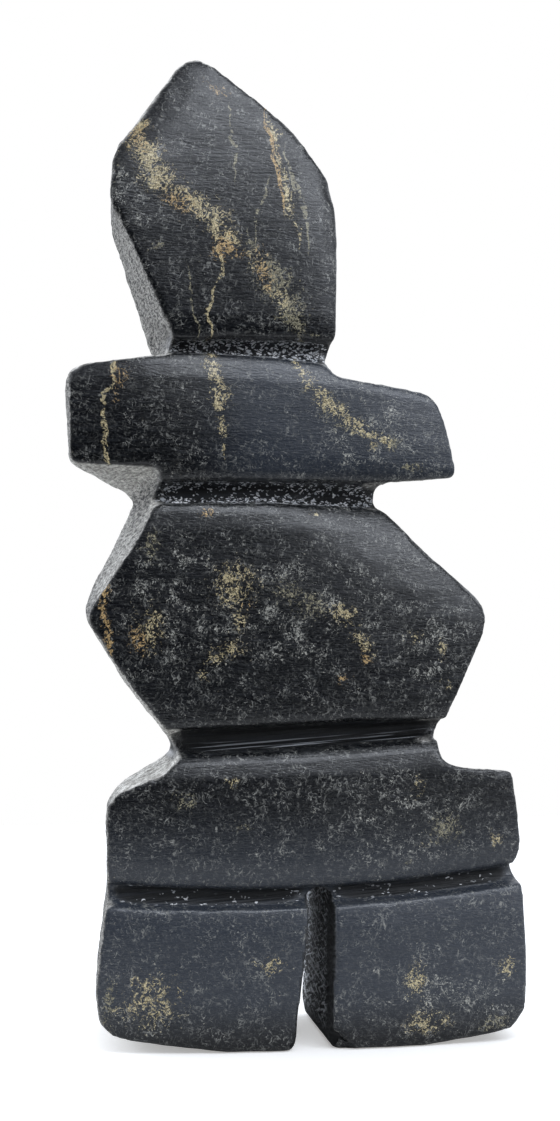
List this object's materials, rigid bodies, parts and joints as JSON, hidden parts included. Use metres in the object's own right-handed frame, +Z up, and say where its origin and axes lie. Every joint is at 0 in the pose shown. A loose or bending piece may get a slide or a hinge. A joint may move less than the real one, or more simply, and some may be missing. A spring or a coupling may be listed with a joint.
{
  "type": "inukshuk sculpture",
  "caption": "Small standing inukshuk figure, carved from one block of dark veined stone with filed grooves and a slit between its feet.",
  "frame": {"origin": "on the ground, under the middle of the carving's box", "axes": "+Z up, -Y the carved front, +X the right-hand side as seen from the front"},
  "size_m": [0.0614, 0.025, 0.1308],
  "materials": {
    "carved_stone": "hand-sanded satin, with cream, gold and tan veins"
  },
  "bodies": {
    "root": {"inukshuk": "carved_stone"}
  },
  "joints": []
}
